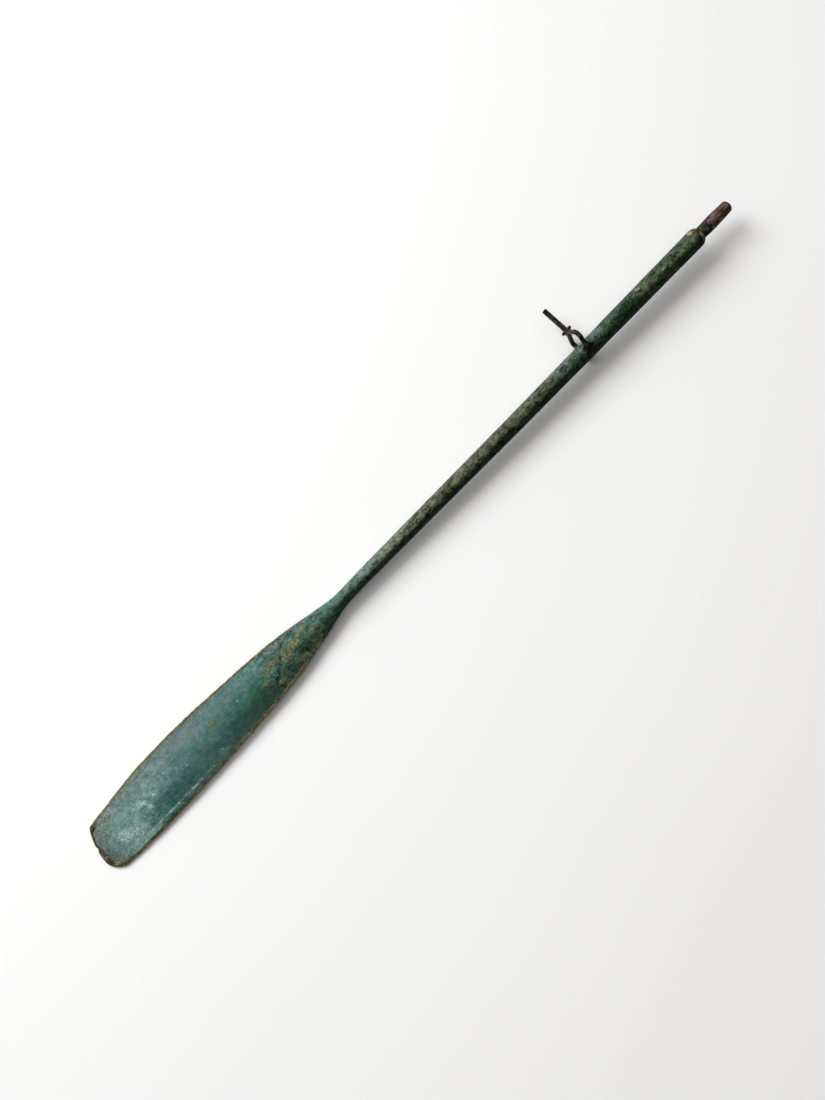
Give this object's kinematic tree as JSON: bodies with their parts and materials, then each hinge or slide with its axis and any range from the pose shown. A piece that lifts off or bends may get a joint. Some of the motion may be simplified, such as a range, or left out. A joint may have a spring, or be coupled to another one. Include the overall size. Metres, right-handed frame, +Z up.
{
  "type": "rowing oar",
  "caption": "Wooden rowing oar, painted green, with a round loom, a flat blade and an iron oarlock that swings on a bolt through the loom.",
  "frame": {"origin": "centre of the bounding box's base, on the ground that the oar lies on", "axes": "+X along the oar towards the grip, +Y along the oarlock's shank away from the loom, +Z up. The oar lies on its blade's tip and the bolt's end, so its own axis slopes 1.51 degrees down to the blade"},
  "size_m": [1.9804, 0.2004, 0.0884],
  "materials": {
    "painted_wood": "old green paint, chalky on the blade and worn to bare wood at the grip, edges and tip",
    "dark_iron": "dark forged iron with a brown patina",
    "dull_steel": "dull grey, lightly rusted",
    "rusty_steel": "brown rust over steel"
  },
  "bodies": {
    "oar": {"oar_body": "painted_wood", "wear_washer_upper": "dull_steel", "wear_washer_lower": "dull_steel", "pivot_bolt": "rusty_steel", "nut_washer": "dull_steel", "pivot_nut": "rusty_steel"},
    "oarlock": {"oarlock_yoke": "dark_iron"}
  },
  "joints": [
    {"name": "oarlock_swing", "type": "hinge", "parent": "oar", "child": "oarlock", "pos_m": [0.52032, -0.03082, 0.04454], "axis": [-0.0263, 0, 0.9997], "range_deg": [-56, 56]}
  ]
}
